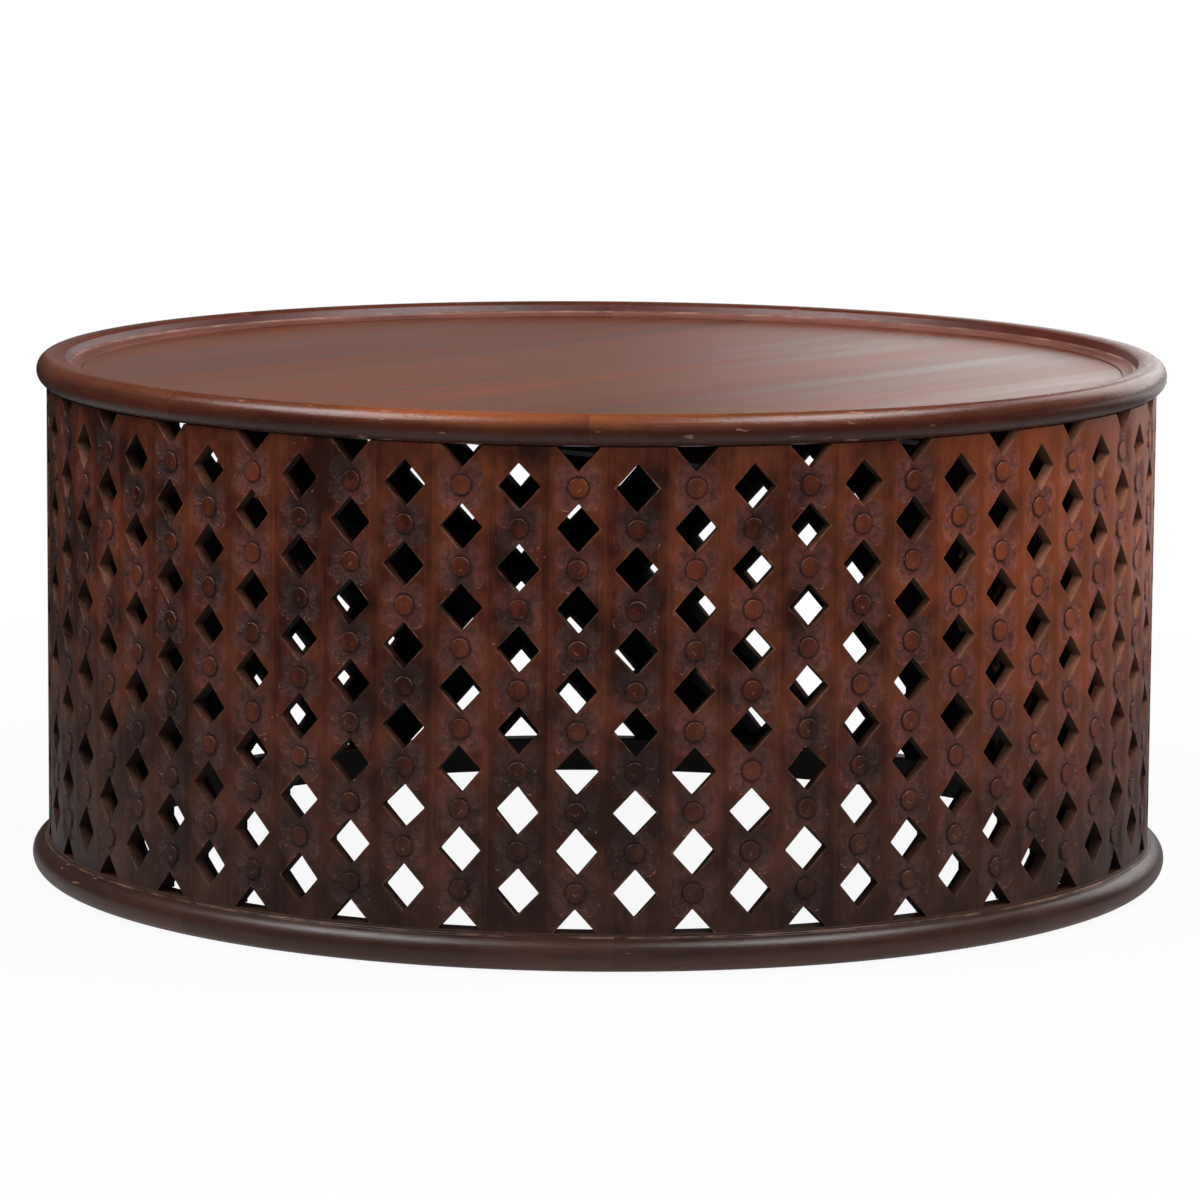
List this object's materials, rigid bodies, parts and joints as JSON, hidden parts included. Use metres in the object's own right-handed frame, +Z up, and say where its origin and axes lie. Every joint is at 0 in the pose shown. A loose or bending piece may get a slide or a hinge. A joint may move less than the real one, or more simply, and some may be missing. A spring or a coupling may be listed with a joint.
{
  "type": "drum coffee table",
  "caption": "Round drum coffee table with a pierced wall of carved wooden staves, a half-round base ring and a tray top with a raised rounded rim.",
  "frame": {"origin": "centre of the floor circle, at the underside of the base ring", "axes": "+Z up along the drum's axis; -Y towards the side shown in front; +X to the right seen from the front"},
  "size_m": [0.91, 0.91, 0.412],
  "materials": {
    "carved_wood": "dark reddish-brown stain under satin lacquer, carved parts duller and darker",
    "ring_wood": "dark reddish-brown stain under glossy lacquer, rubbed lighter on the edges",
    "board_wood": "dark reddish-brown stain under glossy lacquer",
    "inner_wood": "dark stained, unpolished",
    "screw_steel": "zinc plated"
  },
  "bodies": {
    "root": {"stave_pair_01": "carved_wood", "stave_pair_02": "carved_wood", "stave_pair_03": "carved_wood", "stave_pair_04": "carved_wood", "stave_pair_05": "carved_wood", "stave_pair_06": "carved_wood", "stave_pair_07": "carved_wood", "stave_pair_08": "carved_wood", "stave_pair_09": "carved_wood", "stave_pair_10": "carved_wood", "stave_pair_11": "carved_wood", "stave_pair_12": "carved_wood", "stave_pair_13": "carved_wood", "stave_pair_14": "carved_wood", "stave_pair_15": "carved_wood", "stave_pair_16": "carved_wood", "stave_pair_17": "carved_wood", "stave_pair_18": "carved_wood", "stave_pair_19": "carved_wood", "stave_pair_20": "carved_wood", "stave_pair_21": "carved_wood", "stave_pair_22": "carved_wood", "stave_pair_23": "carved_wood", "stave_pair_24": "carved_wood", "stave_pair_25": "carved_wood", "stave_pair_26": "carved_wood", "stave_pair_27": "carved_wood", "stave_pair_28": "carved_wood", "stave_pair_29": "carved_wood", "stave_pair_30": "carved_wood", "stave_pair_31": "carved_wood", "stave_pair_32": "carved_wood", "base_ring_segment_1": "ring_wood", "base_ring_segment_2": "ring_wood", "base_ring_segment_3": "ring_wood", "base_ring_segment_4": "ring_wood", "base_ring_segment_5": "ring_wood", "base_ring_segment_6": "ring_wood", "base_ring_segment_7": "ring_wood", "base_ring_segment_8": "ring_wood", "rim_segment_1": "ring_wood", "rim_segment_2": "ring_wood", "rim_segment_3": "ring_wood", "rim_segment_4": "ring_wood", "rim_segment_5": "ring_wood", "rim_segment_6": "ring_wood", "rim_segment_7": "ring_wood", "rim_segment_8": "ring_wood", "ring_dowels": "inner_wood", "batten_screws": "screw_steel", "batten_left": "inner_wood", "batten_middle": "inner_wood", "batten_right": "inner_wood", "top_board_1": "board_wood", "top_board_2": "board_wood", "top_board_3": "board_wood", "top_board_4": "board_wood", "top_board_5": "board_wood", "top_board_6": "board_wood", "corner_cleats": "inner_wood"}
  },
  "joints": []
}
